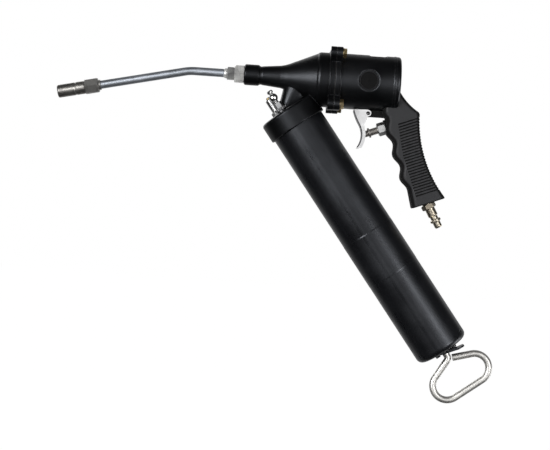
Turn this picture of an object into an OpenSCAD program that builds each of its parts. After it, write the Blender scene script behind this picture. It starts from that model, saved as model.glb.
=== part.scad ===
// Air-powered cartridge grease gun with a bent delivery tube.
// Frame: X along the pump axis with the nozzle at -X, Y across, Z up.
// The origin is the centre of the pistol grip. Units are millimetres.

/* [Pump head] */
// Distance from the grip centre forward to the head flange face
grip_x = 87.2; // [84:0.1:92]
// Height of the pump axis above the grip centre
pump_z = 76.2; // [74:0.1:80]
// Diameter of the outlet collar on the nose of the head
collar_d = 21.4; // [20:0.1:24]
// Length of the outlet collar
collar_len = 15.9; // [13:0.1:18]
// Position of the front end of the collar along the pump axis
collar_x = -88.4; // [-92:0.1:-84]
// Diameter of the neck just behind the collar
neck_d = 18.6; // [17:0.1:20]
// Position where the neck turns into the cone
cone_start_x = -48; // [-52:0.5:-44]
// Position of the shoulder at the wide end of the cone
cone_end_x = -13.4; // [-15:0.1:-12]
// Diameter of the head behind the shoulder
head_d = 56; // [54:0.1:57]

/* [Flange] */
// Front face of the bolted flange along the pump axis
flange_x = -1.5; // [-2.5:0.1:-0.5]
// Thickness of each of the two flange plates
flange_t = 6; // [5:0.1:7]
// Outside diameter of the flange ring between the lugs
flange_d = 61; // [59:0.5:64]
// Radius of the bolt circle
bolt_circle_r = 36.6; // [35:0.1:38]
// End radius of a bolt lug
lug_r = 6.2; // [5.5:0.1:7]
// Flange bolt diameter
bolt_d = 6; // [5:0.5:6]

/* [Air motor] */
// Outside diameter of the air motor
motor_d = 56.6; // [55:0.1:58]
// Rear end of the air motor along the pump axis
motor_end_x = 71.5; // [70:0.1:74]
// Bore of the air cylinder
air_bore_d = 48; // [46:0.5:49]
// Stroke of the air piston
stroke = 28; // [20:1:28]
// Diameter of the pump plunger
plunger_d = 9.5; // [8:0.1:10]

/* [Delivery tube and coupler] */
// Outside diameter of the delivery tube
tube_d = 8.5; // [8:0.1:9]
// Bore of the delivery tube
tube_bore_d = 4; // [3:0.1:5]
// Position of the bend along the pump axis
bend_x = -144.4; // [-150:0.2:-138]
// Angle by which the tube is bent down
bend_angle = 12.8; // [8:0.1:16]
// Centreline radius of the bend
bend_r = 42; // [36:1:90]
// Distance from the bend to the rear of the coupler
coupler_start = 95; // [85:0.5:105]
// Width across flats of the coupler hexagon
coupler_af = 14; // [13:0.5:15]
// Outside diameter of the coupler nose
nose_d = 13.3; // [13:0.1:14]
// Length of the coupler nose
nose_len = 28.3; // [26:0.1:32]

/* [Barrel] */
// Where the barrel axis would cross the pump axis
barrel_x = -66.7; // [-68:0.1:-65]
// Angle of the barrel below the pump axis
barrel_angle = 53.1; // [51:0.1:55]
// Outside diameter of the barrel
barrel_d = 57; // [56:0.1:57.4]
// Wall thickness of the barrel
barrel_wall = 1.2; // [1:0.1:1.6]
// Distance along the barrel axis to the top of the cap
cap_top = 41.6; // [41:0.1:43]
// Length of the cap
cap_len = 20.4; // [18:0.1:22]
// Outside diameter of the cap
cap_d = 62.2; // [61.5:0.1:63]
// Distance along the barrel axis to the closed end of the barrel
barrel_end = 335.8; // [320:0.1:345]

/* [Pull rod] */
// Diameter of the pull rod and its handle
rod_d = 7.2; // [6:0.1:7.4]
// Half width of the pull handle
loop_half_w = 31.6; // [28:0.1:34]
// Distance from the barrel end to the bar of the pull handle
loop_len = 48; // [46:0.1:52]

/* [Grip] */
// Backward lean of the grip from the vertical
grip_lean = 21.4; // [19:0.1:24]
// Thickness of the grip from side to side
grip_t = 27; // [25:0.1:29]
// Distance from the grip centre to its base
grip_base = 48.5; // [46:0.1:52]
// Spacing of the finger grooves
finger_pitch = 25; // [23:0.1:26]
// Depth of a finger groove
finger_depth = 4.2; // [3:0.1:5]
// Number of grip ribs on each side
rib_count = 27; // [16:1:28]
// Spacing of the grip ribs
rib_pitch = 2.9; // [2.7:0.05:3]

/* [Trigger and valve] */
// Trigger pin position along the pump axis
pin_x = 41.2; // [40:0.1:43]
// Trigger pin position below the pump axis
pin_z = -31.6; // [-32.5:0.1:-31.5]
// Trigger pin diameter
pin_d = 3.8; // [3:0.1:4]
// Outside width of the trigger
trigger_w = 13.4; // [13:0.1:15]
// Sheet thickness of the trigger
trigger_t = 1.3; // [1:0.1:1.4]
// Position of the air valve along the grip, above the grip centre
valve_h = -39; // [-40:0.1:-38]
// Width across flats of the valve nut
valve_af = 12; // [11:0.5:13]

/* [Hidden] */
$fn = 64;

// Running clearance of a sliding fit, and the gap left between moving parts
fit = 0.05;
gap = 0.3;

// Flange planes and motor planes along the pump axis
part_x = flange_x + flange_t;
gasket_t = 0.5;
lug_neck = 2 * lug_r - 0.8;
motor_r = motor_d / 2;
motor_round = 3;
air_end_x = motor_end_x - 5.5;

// Piston at rest against the rear wall of the air cylinder
piston_t = 10;
piston_x = air_end_x - 4 - piston_t;
piston_r = air_bore_d / 2 - 0.6;
seal_t = 4;
plunger_r = plunger_d / 2;
plunger_tip_x = -34;
spring_seat_x = -6;
gland_x = -16;
gland_r = 8;
valve_seat_x = plunger_tip_x - stroke - 2;
fitting_r = 3;
check_r = 3.6;
check_seat_r = 2.8;
check_x = valve_seat_x - 2 - sqrt(check_r * check_r - check_seat_r * check_seat_r);
adapter_x = -78;
thread_r = 5.5;
inlet_x = -42;

// Fittings where the tube leaves the head
adapter_len = 9.9;
adapter_af = 17;
nut_len = 7.8;
nut_af = 12.6;
nut_x = collar_x - adapter_len - nut_len;
tube_end_x = collar_x - 4;
bend_run = bend_r * tan(bend_angle / 2);
tube_grip = 6;

// How far a bend reaches into the straight wire or tube beside it, and how much thinner it is
bend_lap = 0.5;
bend_thin = 0.1;

// Coupler planes along the outer leg of the tube
hex_len = 14.2;
nose_start = coupler_start + hex_len;
nose_end = nose_start + nose_len;
tip_len = 3;
mouth_r = 3.5;
sleeve_bore_r = 5.1;
jaw_len = 10;

// Barrel and cap
cap_r = cap_d / 2;
barrel_r = barrel_d / 2;
barrel_in_r = barrel_r - barrel_wall;
cap_roof = 4;
gasket_top = cap_top + cap_roof;
barrel_top = gasket_top + 2.6;
barrel_round = 6;
end_t = 1.6;
band_start = 192.4;
band_end = 240.8;
stake_s = barrel_end - 8;
rod_r = rod_d / 2;
bush_r = 5.6;

// Follower at rest against the top of the barrel
follower_s = barrel_top + 14;
follower_t = 5;
cup_len = 12;
rod_inner_s = follower_s - 6;
follower_spring_s = follower_s + follower_t;

// Pull handle: legs, corners and bar
wire_bend_r = 5;
leg_angle = 68;
loop_start = barrel_end + 7.2;
bar_s = barrel_end + loop_len;
leg_s = loop_start + wire_bend_r * sin(leg_angle);
leg_p = wire_bend_r * (1 - cos(leg_angle));
corner_r = (sin(leg_angle) * (bar_s - leg_s) - cos(leg_angle) * (loop_half_w - leg_p))
    / (1 + sin(leg_angle) - cos(leg_angle));
corner_s = bar_s - corner_r;
corner_p = loop_half_w - corner_r;

// Rod latch: a tilted plate with a rolled heel that bears on the barrel end
latch_t = 1.6;
latch_tilt = 15;
latch_lift = 1.2;
latch_heel_r = 1;
cheek_angle = 9.5;
latch_heel_p = -8;
latch_len = 29;
latch_w = 17;
latch_hole_r = 4.4;

// Badge recess on the side of the motor and exhaust slot on its top
badge_x = 38.7;
badge_r = 10.9;
badge_floor_y = -(motor_r - 2.7);
slot_x = 38.8;
slot_len = 18;
slot_w = 17;
slot_turn = 10;
slot_depth = 9;

// Grip outline arcs in the grip frame
back_valley_h = 5;
back_valley_w = -15;
back_arc_r = 132;
horn_arc_h = -80.8;
horn_arc_w = -70;
horn_arc_r = 60;
front_mid_w = 13.1;
front_ridge_h = -9.2;
neck_front_x = 56;
grip_top = -76;
grip_corner_r = 5;
grip_half_t = grip_t / 2;
base_round = 1.5;
heel_h = front_ridge_h + 1.5 * finger_pitch;
heel_slope = 0.11;
rib_start_h = -38.5;
rib_groove_w = 1.5;
rib_groove_d = 1;

// Air valve along its own axis, forward from the grip centre line
valve_face_w = 14.2;
valve_boss_r = 8;
valve_hex_len = 8;
valve_chamber_w = -9;
valve_chamber_r = 5;
spigot_len = 8;
stem_r = 3.6;
stem_tip_w = 37.5;
collar_w = 30.2;
poppet_w = 2;
poppet_t = 3;

// Air plug at the base of the grip
plug_lean = 30;
plug_w = -3.9;

// Trigger outline: a finger arc below and a straight-backed arc above
finger_c = [14, -54.8];
finger_r = 22.75;
brow_c = [80.3, -13];
brow_r = 55.7;
lug_half_w = 4.8;
ear_r = 3.2;
trigger_join = [34.3, -44.4];
trigger_tail_z = -67.8;
trigger_top_z = -28.9;

// Fittings on the cap
nipple_p = -6;
nipple_y = -16.5;
bleed_p = -9.5;
bleed_y = 16;

steel = "silver";
dark_steel = "dimgray";
black_paint = "#202022";
rubber = "#151515";
brass = "#b59a55";

// Placing along the pump axis: Z runs towards the rear
module on_pump(x) {
    translate([x - grip_x, 0, pump_z]) rotate([0, 90, 0]) children();
}

// Placing along the barrel axis: Z runs away from the pump, X towards the nozzle
module on_barrel(s) {
    translate([barrel_x - grip_x, 0, pump_z]) rotate([0, 90 + barrel_angle, 0])
        translate([0, 0, s]) children();
}

// Placing on the roof of the cap: Z points away from the barrel
module on_cap(p, y) {
    on_barrel(cap_top) translate([-p, y, 0]) rotate([180, 0, 0]) children();
}

// Placing in the grip frame: X points forward, Z down the grip
module on_grip() {
    rotate([0, 180 - grip_lean, 0]) children();
}

// Placing along the valve axis: Z points forward
module on_valve(w) {
    on_grip() translate([w, 0, valve_h]) rotate([0, 90, 0]) children();
}

// Placing along the air plug: Z points out of the grip base
module on_plug(s) {
    on_grip() translate([plug_w, 0, grip_base]) rotate([0, grip_lean - plug_lean, 0])
        translate([0, 0, s]) children();
}

// Placing along the outer leg of the tube: Z runs to the nozzle
module on_outer_leg(s) {
    translate([bend_x - grip_x, 0, pump_z]) rotate([0, -90 - bend_angle, 0])
        translate([0, 0, s]) children();
}

// Side profiles drawn in pump coordinates become plates across Y
module side_plate(width) {
    translate([-grip_x, width / 2, pump_z]) rotate([90, 0, 0]) linear_extrude(width) children();
}

// Hexagonal prism given by its width across flats
module hex_prism(af, len) {
    cylinder(d = af / cos(30), h = len, $fn = 6);
}

// Hexagonal prism with both rims turned to a chamfer
module hex_nut(af, len, cut = 0.8) {
    r = af / 2 / cos(30);
    intersection() {
        hex_prism(af, len);
        rotate_extrude() polygon([[0, 0], [r - cut * 1.2, 0], [r, cut], [r, len - cut],
            [r - cut * 1.2, len], [0, len]]);
    }
}

// Ring of rectangular section
module ring(r_out, r_in, len) {
    difference() {
        cylinder(r = r_out, h = len);
        translate([0, 0, -1]) cylinder(r = r_in, h = len + 2);
    }
}

// Height of a coil spring's wire after a number of turns, with closed end turns
function coil_z(t, len, wire, turns) =
    let (shut = 1.15 * wire, pitch = (len - wire - 2 * shut) / (turns - 2))
    wire / 2 + (t < 1 ? shut * t : t > turns - 1 ? len - wire - shut * (turns - t)
        : shut + pitch * (t - 1));

// Coil spring standing on Z = 0
module coil(r, wire, len, turns, steps = 12, sides = 6) {
    count = turns * steps;
    points = [for (i = [0:count]) for (k = [0:sides - 1])
        let (a = 360 * i / steps, b = 360 * k / sides, rr = r + wire / 2 * cos(b))
        [rr * cos(a), rr * sin(a), coil_z(i / steps, len, wire, turns) + wire / 2 * sin(b)]];
    skin = [for (i = [0:count - 1]) for (k = [0:sides - 1]) for (half = [0, 1])
        let (a = i * sides + k, b = i * sides + (k + 1) % sides)
        half == 0 ? [a, a + sides, b] : [b, a + sides, b + sides]];
    first = [for (k = [0:sides - 1]) k];
    last = [for (k = [sides - 1:-1:0]) count * sides + k];
    polyhedron(points, concat(skin, [first, last]));
}

// Four lugs and the ring that carries them, as one flange plate
module lug_plate(t) {
    linear_extrude(t) {
        circle(d = flange_d);
        for (a = [45:90:315]) rotate(a) {
            translate([bolt_circle_r, 0]) circle(r = lug_r);
            translate([20, -lug_neck / 2]) square([bolt_circle_r - 20, lug_neck]);
        }
    }
}

// Bolt holes through the lugs
module lug_holes(t) {
    for (a = [45:90:315]) rotate([0, 0, a]) translate([bolt_circle_r, 0, -1])
        cylinder(d = bolt_d + 0.2, h = t + 2);
}

// Turned outside of the head: collar, neck, cone and shoulder
module head_turning() {
    c = collar_d / 2;
    n = neck_d / 2;
    h = head_d / 2;
    rear = collar_x + collar_len;
    on_pump(0) rotate_extrude() polygon([[0, collar_x], [c - 1.2, collar_x], [c, collar_x + 1.2],
        [c, rear - 1.4], [c - 0.9, rear], [n, rear + 0.6], [n, rear + 2], [n + 0.35, rear + 3],
        [11.5, cone_start_x - 3], [12.4, cone_start_x + 1], [13.6, cone_start_x + 4.5],
        [h - 1.7, cone_end_x - 0.6], [h - 0.5, cone_end_x + 0.9], [h, cone_end_x + 2.8],
        [h, flange_x + 1], [0, flange_x + 1]]);
}

// Cast saddle that carries the cap under the cone
module cap_pillar() {
    hull() {
        translate([-34 - grip_x, 0, pump_z - 10]) cylinder(r = 12, h = 6, $fn = 32);
        for (p = [-5, 14]) on_barrel(cap_top) translate([-p, 0, 0]) cylinder(r = 9, h = 2, $fn = 32);
    }
}

// Cup that takes the screwed end of the barrel
module cap_cup() {
    on_barrel(cap_top) rotate_extrude() polygon([[0, 0], [cap_r - 3, 0], [cap_r - 1, 0.8],
        [cap_r, 2.6], [cap_r, cap_len - 0.6], [cap_r - 0.6, cap_len], [0, cap_len]]);
}

// Tapped hole through the roof of the cap
module fitting_hole() {
    translate([0, 0, -cap_roof - 1]) cylinder(r = fitting_r + fit, h = cap_roof + 2);
}

module pump_head() {
    color(black_paint) difference() {
        union() {
            head_turning();
            on_pump(flange_x) lug_plate(flange_t - gasket_t / 2);
            cap_pillar();
            cap_cup();
        }
        on_pump(flange_x) lug_holes(flange_t);
        on_barrel(gasket_top) cylinder(r = barrel_r + 0.35, h = cap_len);
        on_cap(nipple_p, nipple_y) fitting_hole();
        on_cap(bleed_p, bleed_y) fitting_hole();
        on_pump(spring_seat_x) cylinder(r = 20, h = part_x - spring_seat_x + 1);
        on_pump(gland_x - seal_t) cylinder(r = gland_r, h = spring_seat_x - gland_x + seal_t + 1);
        on_pump(valve_seat_x) cylinder(r = plunger_r + 2 * fit, h = gland_x - seal_t - valve_seat_x + 1);
        on_pump(valve_seat_x - 2.5) cylinder(r = check_seat_r, h = 4);
        on_pump(adapter_x) cylinder(r = check_r + 1, h = valve_seat_x - 2 - adapter_x);
        on_pump(collar_x - 1) cylinder(r = thread_r, h = adapter_x - collar_x + 1.5);
        translate([inlet_x - grip_x, 0, pump_z - 48]) cylinder(r = 4, h = 48);
    }
}

module outlet_adapter() {
    color(steel) difference() {
        union() {
            on_pump(collar_x - adapter_len) rotate([0, 0, 30]) hex_nut(adapter_af, adapter_len, 1);
            on_pump(collar_x - 0.5) cylinder(r = thread_r, h = adapter_x - collar_x + 0.5);
        }
        on_pump(nut_x) cylinder(d = tube_bore_d + 0.4, h = adapter_x - nut_x + 1);
        on_pump(nut_x) cylinder(d = tube_d + 0.1, h = tube_end_x - nut_x);
    }
}

module tube_nut() {
    color(dark_steel) difference() {
        on_pump(nut_x) rotate([0, 0, 30]) hex_nut(nut_af, nut_len, 1);
        on_pump(nut_x - 1) cylinder(d = tube_d + 0.1, h = nut_len + 2);
    }
}

// Hollow round section of the tube, with its wall thinned on both sides
module tube_section(thin = 0) {
    difference() {
        circle(d = tube_d - thin);
        circle(d = tube_bore_d + thin);
    }
}

// Two straight legs and the bend between them, which reaches a little into both
module delivery_tube() {
    reach = bend_lap / bend_r * 180 / PI;
    color("lightsteelblue") {
        on_pump(bend_x + bend_run) linear_extrude(tube_end_x - bend_x - bend_run) tube_section();
        translate([bend_x + bend_run - grip_x, 0, pump_z - bend_r]) rotate([90, 0, 0])
            rotate([0, 0, 90 - reach]) rotate_extrude(angle = bend_angle + 2 * reach)
                translate([bend_r, 0]) tube_section(bend_thin);
        on_outer_leg(bend_run) linear_extrude(coupler_start + tube_grip - bend_run) tube_section();
    }
}

module coupler_body() {
    color(steel) difference() {
        union() {
            on_outer_leg(coupler_start - 2.2) cylinder(r = 5.2, h = 3);
            on_outer_leg(coupler_start) rotate([0, 0, 30]) hex_nut(coupler_af, hex_len, 1);
            on_outer_leg(nose_start - 0.5) cylinder(r = sleeve_bore_r, h = 6.5);
        }
        on_outer_leg(coupler_start - 4) cylinder(d = tube_d + 0.1, h = 4 + tube_grip);
        on_outer_leg(coupler_start) cylinder(r = 2, h = hex_len + 10);
    }
}

// Turned nose with an inner lip that closes on the jaws
module coupler_sleeve() {
    r = nose_d / 2;
    color(dark_steel) difference() {
        on_outer_leg(nose_start) rotate_extrude() polygon([[0, 0], [r - 0.7, 0], [r, 0.7],
            [r, 8.6], [r - 0.35, 9.2], [r - 0.35, 10.2], [r, 10.8], [r, nose_len - 1.1],
            [r - 0.4, nose_len - 0.3], [r - 1, nose_len], [0, nose_len]]);
        on_outer_leg(nose_start - 1) cylinder(r = sleeve_bore_r, h = nose_len - tip_len + 1);
        on_outer_leg(nose_start) cylinder(r = mouth_r, h = nose_len + 1);
    }
}

// Four hardened jaw segments behind the lip
module coupler_jaws() {
    color(steel) on_outer_leg(nose_end - tip_len - jaw_len) difference() {
        ring(sleeve_bore_r - 0.1, mouth_r - 0.2, jaw_len);
        for (a = [0, 90]) rotate([0, 0, a]) translate([-10, -0.4, -1]) cube([20, 0.8, jaw_len + 2]);
    }
}

module coupler_seal() {
    color(rubber) on_outer_leg(nose_end - tip_len - jaw_len - 2.4) ring(sleeve_bore_r - 0.1, 1.5, 2.3);
}

module coupler_spring() {
    seat = nose_start + 6;
    color(steel) on_outer_leg(seat) coil(4, 0.8, nose_end - tip_len - jaw_len - 2.5 - seat, 4, 10);
}

module check_ball() {
    color(steel) on_pump(check_x) sphere(r = check_r);
}

module check_spring() {
    color(steel) on_pump(adapter_x + 0.05) coil(2.4, 0.6, check_x - check_r - adapter_x + 0.6, 4, 10);
}

module plunger_gland() {
    color(brass) on_pump(gland_x) ring(gland_r, plunger_r + fit, spring_seat_x - gland_x);
}

module plunger_seal() {
    color(rubber) on_pump(gland_x - seal_t) ring(gland_r, plunger_r + fit, seal_t);
}

// Plunger with a threaded stud that carries the piston
module plunger() {
    color(steel) on_pump(plunger_tip_x) {
        cylinder(r = plunger_r, h = piston_x - plunger_tip_x);
        cylinder(r = 3, h = piston_x + piston_t + 3 - plunger_tip_x);
    }
}

module air_piston() {
    hub_r = 9;
    color("gray") on_pump(piston_x) difference() {
        cylinder(r = piston_r, h = piston_t);
        translate([0, 0, -1]) cylinder(r = 3, h = piston_t + 2);
        translate([0, 0, 3]) ring(piston_r + 1, piston_r - 2.5, seal_t);
        translate([0, 0, piston_t - 3]) ring(piston_r - 5, hub_r, 4);
    }
}

module piston_seal() {
    color(rubber) on_pump(piston_x + 3) ring(air_bore_d / 2 - fit, piston_r - 2.5, seal_t);
}

module piston_nut() {
    color(steel) on_pump(piston_x + piston_t) difference() {
        hex_nut(10, 3.2, 0.5);
        translate([0, 0, -1]) cylinder(r = 3, h = 6);
    }
}

module return_spring() {
    color(steel) on_pump(spring_seat_x) coil(16, 2.4, piston_x - spring_seat_x, 7);
}

module flange_gasket() {
    color("#3a3228") on_pump(part_x - gasket_t / 2) ring(flange_d / 2 - 0.4, air_bore_d / 2, gasket_t);
}

// Four hexagon bolts with washers, heads to the rear, points just short of the front face
module flange_bolts() {
    point = 0.6;
    seat = 2 * flange_t;
    color(brass) for (a = [45:90:315]) on_pump(flange_x) rotate([0, 0, a])
        translate([bolt_circle_r, 0, 0]) {
            translate([0, 0, point]) cylinder(d = bolt_d, h = seat - point + 0.5);
            translate([0, 0, seat]) cylinder(d = 10.4, h = 0.9);
            translate([0, 0, seat + 0.9]) hex_nut(9, 3.2, 0.5);
        }
}

// Outline of the motor as a turned solid, grown by a clearance
module motor_turning(grow) {
    r = motor_r + grow;
    end = motor_end_x + grow;
    steps = [0:15:90];
    on_pump(0) rotate_extrude() polygon(concat([[0, part_x + gasket_t / 2]], [[r, part_x + gasket_t / 2]],
        [for (a = steps) [r - motor_round + motor_round * cos(a),
            end - motor_round + motor_round * sin(a)]], [[0, end]]));
}

// Low bead around the rear of the motor, grown by a clearance
module motor_bead(grow) {
    r = motor_r + 0.25 + grow;
    on_pump(motor_end_x - 7.4) rotate_extrude() polygon([[motor_r - 1, -1.2 - grow], [r, 0.4 - grow],
        [r, 2.2 + grow], [motor_r - 1, 3.8 + grow]]);
}

// Slot with round corners, cut into the top of the motor and turned a little to the badge side
module exhaust_slot(inset, depth) {
    r = 3;
    x = slot_len / 2 - inset;
    y = slot_w / 2 - inset;
    translate([slot_x + slot_len / 2 - grip_x, 0, pump_z]) rotate([slot_turn, 0, 0])
        translate([0, 0, motor_r - depth]) {
            translate([-x, r - y, 0]) cube([2 * x, 2 * y - 2 * r, depth + 2]);
            translate([r - x, -y, 0]) cube([2 * x - 2 * r, 2 * y, depth + 2]);
            for (i = [-1, 1]) for (j = [-1, 1])
                translate([i * (x - r), j * (y - r), 0]) cylinder(r = r, h = depth + 2);
        }
}

module motor_housing() {
    color(black_paint) difference() {
        union() {
            motor_turning(0);
            on_pump(part_x + gasket_t / 2) lug_plate(flange_t - gasket_t / 2);
            motor_bead(0);
        }
        on_pump(part_x - 1) cylinder(d = air_bore_d, h = air_end_x - part_x + 1);
        on_pump(part_x) lug_holes(flange_t);
        exhaust_slot(0, slot_depth);
        translate([badge_x - grip_x, badge_floor_y, pump_z]) rotate([90, 0, 0])
            cylinder(r = badge_r, h = 10);
        on_grip() translate([4, 0, grip_top + 6]) cylinder(r = 2.5, h = 20);
    }
}

// Round plate with a raised rim, left blank
module badge() {
    color("#2a2a2c") translate([badge_x - grip_x, badge_floor_y, pump_z]) rotate([90, 0, 0])
        rotate_extrude() polygon([[0, 0], [9.7, 0], [9.7, 0.9], [9.3, 1.3], [8.6, 1.3], [8.3, 0.9],
            [0, 1.05]]);
}

// Felt silencer behind the exhaust slot, curved to the cylinder
module exhaust_pad() {
    color(rubber) intersection() {
        exhaust_slot(0.1, slot_depth);
        on_pump(slot_x) ring(air_bore_d / 2 + 1.2, air_bore_d / 2 + 0.3, slot_len);
    }
}

// Front of the grip: a straight heel, finger waves above it and the straight front of the neck on top
function front_w(h) = min((grip_x - neck_front_x + h * sin(grip_lean)) / cos(grip_lean),
    h > heel_h ? front_mid_w - finger_depth / 2 + heel_slope * (h - heel_h)
        : front_mid_w + finger_depth / 2 * cos(360 * (h - front_ridge_h) / finger_pitch));

// Back of the grip: the palm arc below, the hollow under the motor above
function back_w(h) = max(
    back_valley_w - back_arc_r + sqrt(pow(back_arc_r, 2) - pow(h - back_valley_h, 2)),
    horn_arc_w + sqrt(pow(horn_arc_r, 2) - pow(h - horn_arc_h, 2)));

// Inset that rounds the lower edge of the grip
function base_inset(h) = let (d = h - grip_base + base_round)
    d <= 0 ? 0 : base_round - sqrt(max(0, pow(base_round, 2) - pow(d, 2)));

// One rounded section across the grip
function grip_ring(h) = let (e = base_inset(h), f = front_w(h) - e, b = back_w(h) + e,
    t = grip_half_t - e, r = grip_corner_r)
    [for (q = [0:3]) for (a = [0:22.5:90])
        let (cx = q == 0 || q == 3 ? f - r : b + r, cy = q < 2 ? t - r : r - t)
        [cx + r * cos(a + 90 * q), cy + r * sin(a + 90 * q), h]];

// Grip body lofted through the sections
module grip_loft() {
    round_off = [0.5, 0.8, 0.95, 1];
    stations = concat([for (h = [grip_top:2.5:grip_base - base_round]) h], [grip_base - base_round],
        [for (f = round_off) grip_base - base_round + f * base_round]);
    side = 20;
    count = len(stations);
    points = [for (h = stations) each grip_ring(h)];
    skin = [for (i = [0:count - 2]) for (k = [0:side - 1]) for (half = [0, 1])
        let (a = i * side + k, b = i * side + (k + 1) % side)
        half == 0 ? [a, a + side, b] : [b, a + side, b + side]];
    top = [for (k = [0:side - 1]) k];
    bottom = [for (k = [side - 1:-1:0]) (count - 1) * side + k];
    polyhedron(points, concat(skin, [top, bottom]));
}

// Comb of cutters for the ribs of one side, joined outside the grip
module rib_comb() {
    for (i = [0:rib_count - 1]) let (run = i * rib_pitch, w = min(6.4, 1.5 + 0.15 * run))
        translate([-40, grip_half_t - rib_groove_d, rib_start_h + run]) cube([40 + w, 6, rib_groove_w]);
}

// Notches where the grooves cross the back of the grip
module rib_notches() {
    notch = 0.7;
    for (i = [0:rib_count - 1]) let (h = rib_start_h + i * rib_pitch)
        translate([back_w(h + rib_groove_w / 2) - 6, -grip_half_t - 1, h])
            cube([6 + notch, grip_t + 2, rib_groove_w]);
}

// Lug under the motor that carries the trigger pin
module trigger_lug() {
    side_plate(2 * lug_half_w) difference() {
        union() {
            translate([pin_x, pin_z - ear_r]) square([neck_front_x + 4 - pin_x, 2 * ear_r]);
            translate([pin_x, pin_z]) circle(r = ear_r);
        }
        translate([pin_x, pin_z]) circle(d = pin_d);
    }
}

module grip() {
    color("#37383b") difference() {
        union() {
            on_grip() grip_loft();
            on_valve(0) cylinder(r = valve_boss_r, h = valve_face_w + 0.5);
            trigger_lug();
        }
        motor_turning(fit);
        motor_bead(fit);
        on_grip() rib_comb();
        mirror([0, 1, 0]) on_grip() rib_comb();
        on_grip() rib_notches();
        on_valve(valve_face_w) cylinder(r = valve_boss_r + 0.3, h = valve_hex_len + 4);
        on_valve(valve_chamber_w) cylinder(r = valve_chamber_r + fit, h = valve_face_w - valve_chamber_w + 8);
        on_grip() translate([-4, 0, valve_h]) cylinder(r = 3, h = grip_base - 10 - valve_h);
        on_grip() translate([4, 0, grip_top + 6]) cylinder(r = 2.5, h = valve_h - grip_top - 6);
        on_plug(-12) cylinder(r = thread_r + fit, h = 20);
        on_plug(0.3) cylinder(r = 8.5, h = 6);
    }
}

// Quick-coupling plug with a hexagon at the grip
module air_plug() {
    color("#c9c0a8") difference() {
        union() {
            on_plug(-10) cylinder(r = thread_r, h = 10.6);
            on_plug(0.5) hex_nut(13, 5, 0.8);
            on_plug(5) rotate_extrude() polygon([[0, 0], [5, 0], [5, 8.6], [3.9, 9.8], [3.9, 12.4],
                [5.6, 13.2], [5.6, 15], [3.9, 16.2], [3.9, 21], [3.1, 22.2], [0, 22.2]]);
        }
        on_plug(-11) cylinder(r = 2.2, h = 45);
    }
}

module valve_nut() {
    color(steel) difference() {
        union() {
            on_valve(valve_face_w) hex_nut(valve_af, valve_hex_len, 0.9);
            on_valve(valve_face_w - spigot_len) cylinder(r = valve_chamber_r, h = spigot_len + 1);
        }
        on_valve(valve_face_w - spigot_len - 1) cylinder(r = stem_r + fit, h = 30);
    }
}

// Push stem with a collar outside and a poppet inside the grip
module valve_stem() {
    collar = [[stem_r, 0], [5.1, 0.3], [5.1, 1.9], [stem_r, 2.2]];
    color(brass) on_valve(0) rotate_extrude() polygon(concat([[0, poppet_w], [4.4, poppet_w],
        [4.4, poppet_w + poppet_t], [stem_r, poppet_w + poppet_t]],
        [for (c = collar) [c[0], c[1] + collar_w]],
        [[3.3, collar_w + 2.6], [3.3, stem_tip_w - 1.2], [2.2, stem_tip_w - 0.2], [0, stem_tip_w]]));
}

module valve_seal() {
    color(rubber) on_valve(poppet_w + poppet_t) ring(4.6, stem_r, 1.1);
}

module valve_spring() {
    color(steel) on_valve(valve_chamber_w) coil(3, 0.8, poppet_w - valve_chamber_w, 6, 10);
}

// Side of the trigger between its front curve and its rear edge
module trigger_side() {
    difference() {
        union() {
            intersection() {
                translate(brow_c) circle(r = brow_r + trigger_t / 2);
                polygon([[20, trigger_top_z], [pin_x, trigger_top_z + 1], [pin_x, pin_z - ear_r],
                    [38.6, -42], [trigger_join[0] + 3.4, trigger_join[1]], [20, trigger_join[1]]]);
            }
            translate([pin_x, pin_z]) circle(r = ear_r);
            difference() {
                intersection() {
                    translate(finger_c - [0.4, 0]) circle(r = finger_r + 3.6);
                    polygon([[30, trigger_join[1] + 0.2], [50, trigger_join[1] + 0.2],
                        [50, trigger_tail_z + 5], [31.5, trigger_tail_z - 0.6], [28, trigger_tail_z + 2]]);
                }
                translate(finger_c) circle(r = finger_r - trigger_t / 2);
            }
        }
        translate([pin_x, pin_z]) circle(d = pin_d + 2 * fit);
    }
}

// Folded sheet trigger: two cheeks joined by a curved front
module trigger() {
    color(steel) difference() {
        side_plate(trigger_w) trigger_side();
        side_plate(trigger_w - 2 * trigger_t) trigger_channel();
    }
}

// Room between the cheeks, behind the front sheet
module trigger_channel() {
    difference() {
        translate([20, -80]) square([40, 60]);
        difference() {
            translate([20, trigger_join[1]]) square([30, 40]);
            translate(brow_c) circle(r = brow_r - trigger_t / 2);
        }
        translate(finger_c) intersection() {
            circle(r = finger_r + trigger_t / 2);
            translate([-40, -40]) square([80, 40 + trigger_join[1] - finger_c[1]]);
        }
    }
}

// Hollow rolled pin
module trigger_pin() {
    color(dark_steel) translate([pin_x - grip_x, trigger_w / 2 + 0.8, pin_z + pump_z]) rotate([90, 0, 0])
        ring(pin_d / 2, 0.9, trigger_w + 1.6);
}

// Drawn barrel with a rounded closed end, a rolled band and three stakes
module barrel() {
    r = barrel_r;
    round_in = barrel_round - barrel_wall;
    arc = [0:15:90];
    band = 0.15;
    color(black_paint) on_barrel(0) difference() {
        rotate_extrude() polygon(concat([[barrel_in_r, barrel_top], [r, barrel_top], [r, band_start - 0.4],
            [r + band, band_start], [r + band, band_end], [r, band_end + 0.4]],
            [for (a = arc) [r - barrel_round + barrel_round * cos(a),
                barrel_end - barrel_round + barrel_round * sin(a)]],
            [[bush_r, barrel_end], [bush_r, barrel_end - end_t]],
            [for (a = arc) [r - barrel_round + round_in * sin(a),
                barrel_end - end_t - round_in + round_in * cos(a)]]));
        for (a = [30, 150, 270]) rotate([0, 0, a + 180]) translate([r + 1.1, 0, stake_s]) sphere(r = 1.9);
    }
}

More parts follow.
